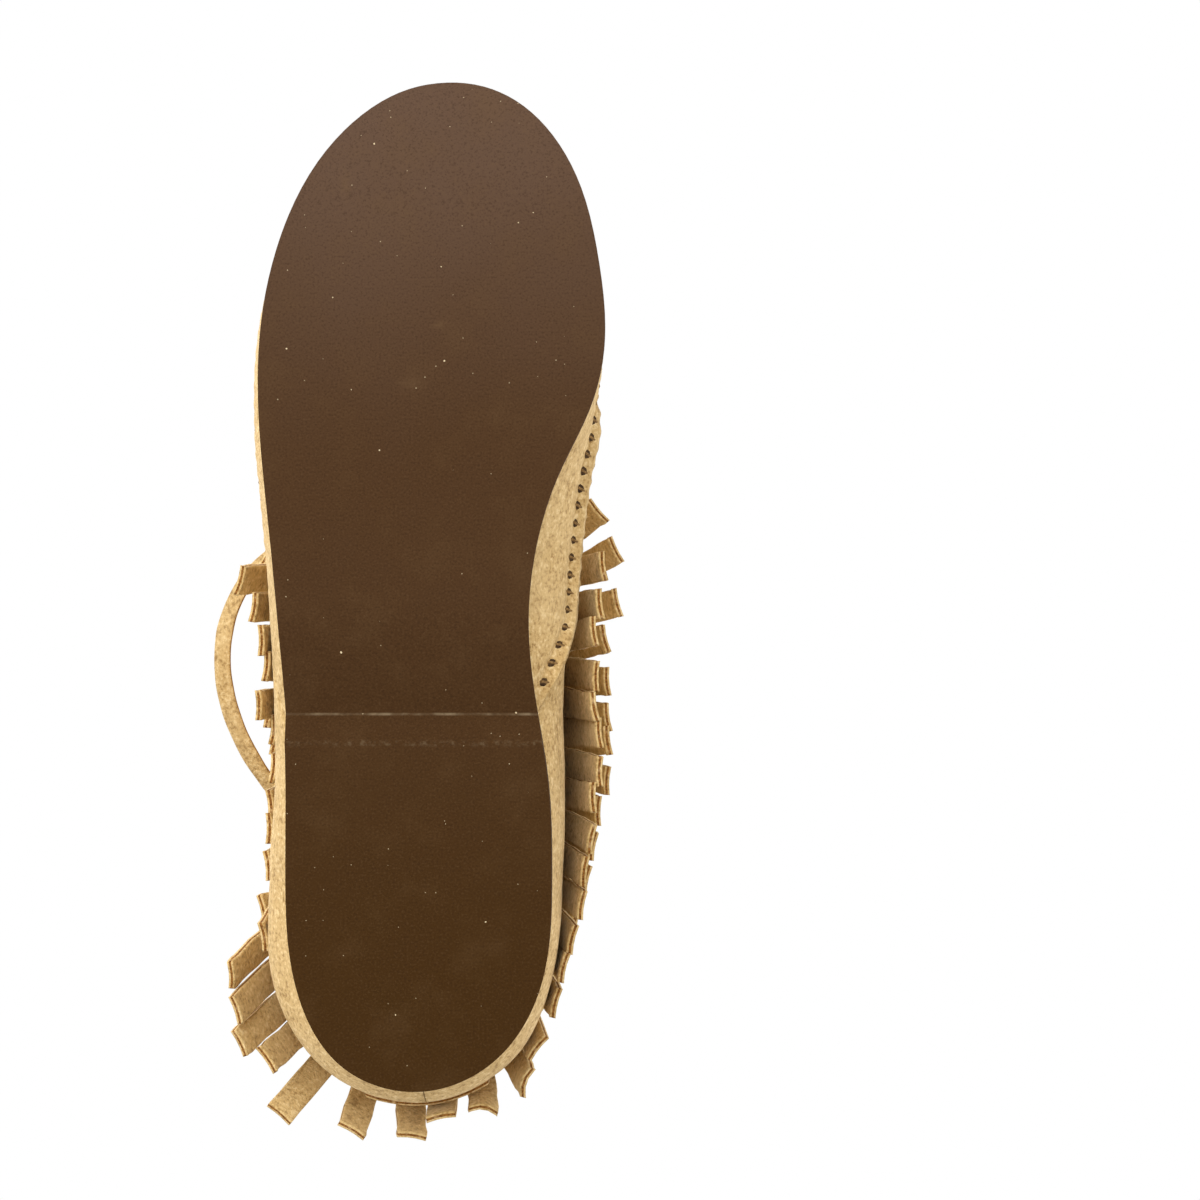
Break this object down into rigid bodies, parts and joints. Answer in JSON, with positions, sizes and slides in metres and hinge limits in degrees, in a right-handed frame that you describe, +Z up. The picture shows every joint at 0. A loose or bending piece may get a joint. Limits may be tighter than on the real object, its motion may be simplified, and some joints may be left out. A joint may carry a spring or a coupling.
{
  "type": "ankle moccasin",
  "caption": "Fringed ankle moccasin for a right foot: tan suede upper, puckered toe seam, thong at the collar, thin brown rubber sole.",
  "frame": {"origin": "on the ground under the middle of the sole's length, near the foot's centre line", "axes": "+Z up, toe towards -Y, heel towards +Y, inner side of the foot +X"},
  "size_m": [0.1189, 0.286, 0.118],
  "materials": {
    "sole_rubber": "satin, fine grain",
    "lift_rubber": "satin, fine grain",
    "upper_suede": "napped suede",
    "fringe_suede": "napped suede, cut edges",
    "thong_suede": "napped suede",
    "stitch_thong": "dull",
    "thread": "waxed thread",
    "insole_board": "matt",
    "footbed_suede": "brushed",
    "counter_board": "matt"
  },
  "bodies": {
    "shoe": {"back_stay": "upper_suede", "collar_casing": "upper_suede", "footbed": "footbed_suede", "fringe_band_lower": "fringe_suede", "fringe_band_upper": "fringe_suede", "fringe_lower_heel": "fringe_suede", "fringe_lower_inner_front": "fringe_suede", "fringe_lower_outer_side": "fringe_suede", "fringe_upper_heel": "fringe_suede", "fringe_upper_inner_front": "fringe_suede", "fringe_upper_outer_side": "fringe_suede", "heel_counter": "counter_board", "heel_lift": "lift_rubber", "insole_board": "insole_board", "outsole": "sole_rubber", "plug": "upper_suede", "quarter_inner": "upper_suede", "quarter_outer": "upper_suede", "stay_threads": "thread", "thong_heel_run": "thong_suede", "thong_inner_run": "thong_suede", "thong_knot": "thong_suede", "thong_loop": "thong_suede", "thong_tail_inner": "thong_suede", "thong_tail_outer": "thong_suede", "vamp_wall": "upper_suede", "whip_stitches": "stitch_thong"},
    "upper_fringe_flap": {"fringe_upper_inner_side": "fringe_suede"},
    "lower_fringe_flap": {"fringe_lower_inner_side": "fringe_suede"},
    "tongue": {"tongue": "upper_suede"}
  },
  "joints": [
    {"name": "tongue_fold", "type": "hinge", "parent": "shoe", "child": "tongue", "pos_m": [0, -0.0592, 0.053], "axis": [-1, 0, 0], "range_deg": [0, 25], "stiffness_Nm_per_rad": 0.2},
    {"name": "fringe_upper_lift", "type": "hinge", "parent": "shoe", "child": "upper_fringe_flap", "pos_m": [0.0326, 0.055, 0.099], "axis": [0, -1, 0], "range_deg": [0, 35]},
    {"name": "fringe_lower_lift", "type": "hinge", "parent": "shoe", "child": "lower_fringe_flap", "pos_m": [0.0345, 0.055, 0.07], "axis": [0, -1, 0], "range_deg": [0, 35]}
  ],
  "couplings": [
    {"joint": "fringe_lower_lift", "follows": "fringe_upper_lift", "ratio": 1}
  ]
}
